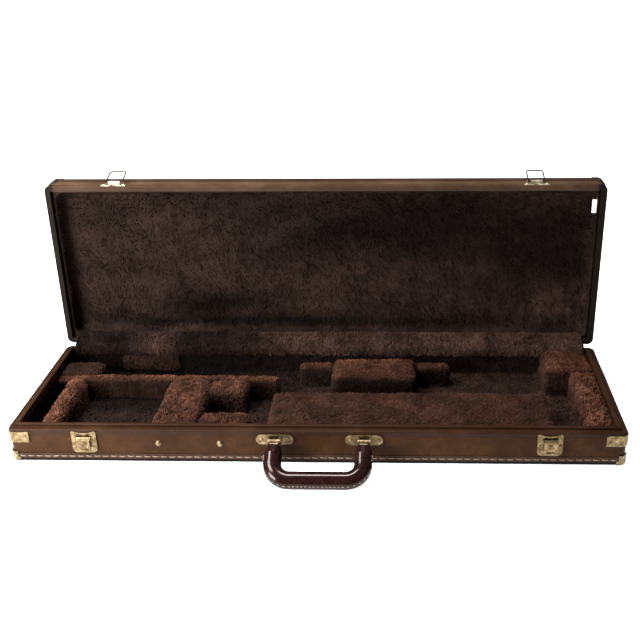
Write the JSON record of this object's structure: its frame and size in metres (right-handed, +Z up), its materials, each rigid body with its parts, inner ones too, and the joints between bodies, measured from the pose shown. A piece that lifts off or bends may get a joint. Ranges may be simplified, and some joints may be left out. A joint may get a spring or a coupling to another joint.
{
  "type": "fitted instrument case",
  "caption": "Long shallow hard case with a hinged lid, carrying handle, bail latches and a plush interior divided by covered blocks.",
  "frame": {"origin": "centre of the base's flat bottom face, on the surface that the case lies on", "axes": "+X along the case's length to the viewer's right, +Y from the front to the hinges, +Z up"},
  "size_m": [0.8924, 0.3939, 0.3464],
  "materials": {
    "vinyl_board": "wooden board wrapped in grained mid-brown vinyl cloth",
    "rim_vinyl": "smooth padded vinyl edging, a little lighter than the boards",
    "binding_strip": "flat binding strip with a row of cream stitches",
    "piping": "nearly black welted edge piping",
    "block_plush": "reddish-brown short plush over a stiff block",
    "lining_plush": "very dark brown crushed plush",
    "brass": "brass plating, pale gold, lightly worn",
    "aged_brass": "thin brass plating worn dark and olive",
    "dark_metal": "dark lacquered pressed metal",
    "handle_leather": "glossy dark brown leather with cream stitching",
    "steel": "drawn steel",
    "tag_card": "plain off-white woven label with nothing on it"
  },
  "bodies": {
    "base": {"base_back_board": "vinyl_board", "base_binding": "binding_strip", "base_bottom_panel": "vinyl_board", "base_corner_caps": "aged_brass", "base_corner_clips": "brass", "base_floor_lining": "lining_plush", "base_front_board": "vinyl_board", "base_left_board": "vinyl_board", "base_piping": "piping", "base_right_board": "vinyl_board", "base_rim": "rim_vinyl", "base_wall_lining": "lining_plush", "corner_block_left": "block_plush", "corner_block_right": "block_plush", "cradle_block": "block_plush", "cradle_front_arm": "block_plush", "cradle_rear_arm": "block_plush", "divider_block": "block_plush", "end_block_left": "block_plush", "end_block_right": "block_plush", "front_rivets": "brass", "front_studs": "brass", "handle_pins": "steel", "handle_plate_screws": "brass", "handle_plates": "brass", "hinge_base_leaves": "brass", "hinge_pins": "steel", "latch_pins": "steel", "latch_plate_left": "brass", "latch_plate_right": "brass", "long_block": "block_plush", "rear_bar_left": "block_plush", "rear_bar_right": "block_plush", "rear_centre_block": "block_plush", "rear_wall_pad": "block_plush"},
    "lid": {"lid_panel": "vinyl_board", "lid_front_board": "vinyl_board", "lid_back_board": "vinyl_board", "lid_left_board": "vinyl_board", "lid_right_board": "vinyl_board", "lid_rim": "rim_vinyl", "lid_piping": "piping", "lid_binding": "binding_strip", "lid_panel_lining": "lining_plush", "lid_wall_lining": "lining_plush", "blank_tag": "tag_card", "lid_corner_caps": "dark_metal", "hinge_lid_leaves": "brass", "bail_brackets": "aged_brass", "bail_rivets": "aged_brass"},
    "handle": {"handle_grip": "handle_leather", "handle_core": "steel", "handle_ferrules": "brass"},
    "latch_left": {"latch_lever_left": "brass"},
    "latch_right": {"latch_lever_right": "brass"},
    "lock_left": {"lock_core_left": "brass"},
    "lock_right": {"lock_core_right": "brass"},
    "bail_left": {"bail_left": "aged_brass"},
    "bail_right": {"bail_right": "aged_brass"}
  },
  "joints": [
    {"name": "lid_hinge", "type": "hinge", "parent": "base", "child": "lid", "pos_m": [0, 0.141, 0.054], "axis": [1, 0, 0], "range_deg": [0, 90]},
    {"name": "handle_swing", "type": "hinge", "parent": "base", "child": "handle", "pos_m": [0.007, -0.146, 0.041], "axis": [-1, 0, 0], "range_deg": [-48, 105]},
    {"name": "latch_left_lever", "type": "hinge", "parent": "base", "child": "latch_left", "pos_m": [-0.3335, -0.1424, 0.042], "axis": [-1, 0, 0], "range_deg": [0, 110]},
    {"name": "lock_left_turn", "type": "hinge", "parent": "latch_left", "child": "lock_left", "pos_m": [-0.3335, -0.1424, 0.033], "axis": [0, -1, 0], "range_deg": [0, 90]},
    {"name": "bail_left_swing", "type": "hinge", "parent": "lid", "child": "bail_left", "pos_m": [-0.3335, 0.1505, 0.3365], "axis": [1, 0, 0], "range_deg": [0, 163]},
    {"name": "latch_right_lever", "type": "hinge", "parent": "base", "child": "latch_right", "pos_m": [0.335, -0.1424, 0.042], "axis": [-1, 0, 0], "range_deg": [0, 110]},
    {"name": "lock_right_turn", "type": "hinge", "parent": "latch_right", "child": "lock_right", "pos_m": [0.335, -0.1424, 0.033], "axis": [0, -1, 0], "range_deg": [0, 90]},
    {"name": "bail_right_swing", "type": "hinge", "parent": "lid", "child": "bail_right", "pos_m": [0.335, 0.1505, 0.3365], "axis": [1, 0, 0], "range_deg": [0, 163]}
  ]
}
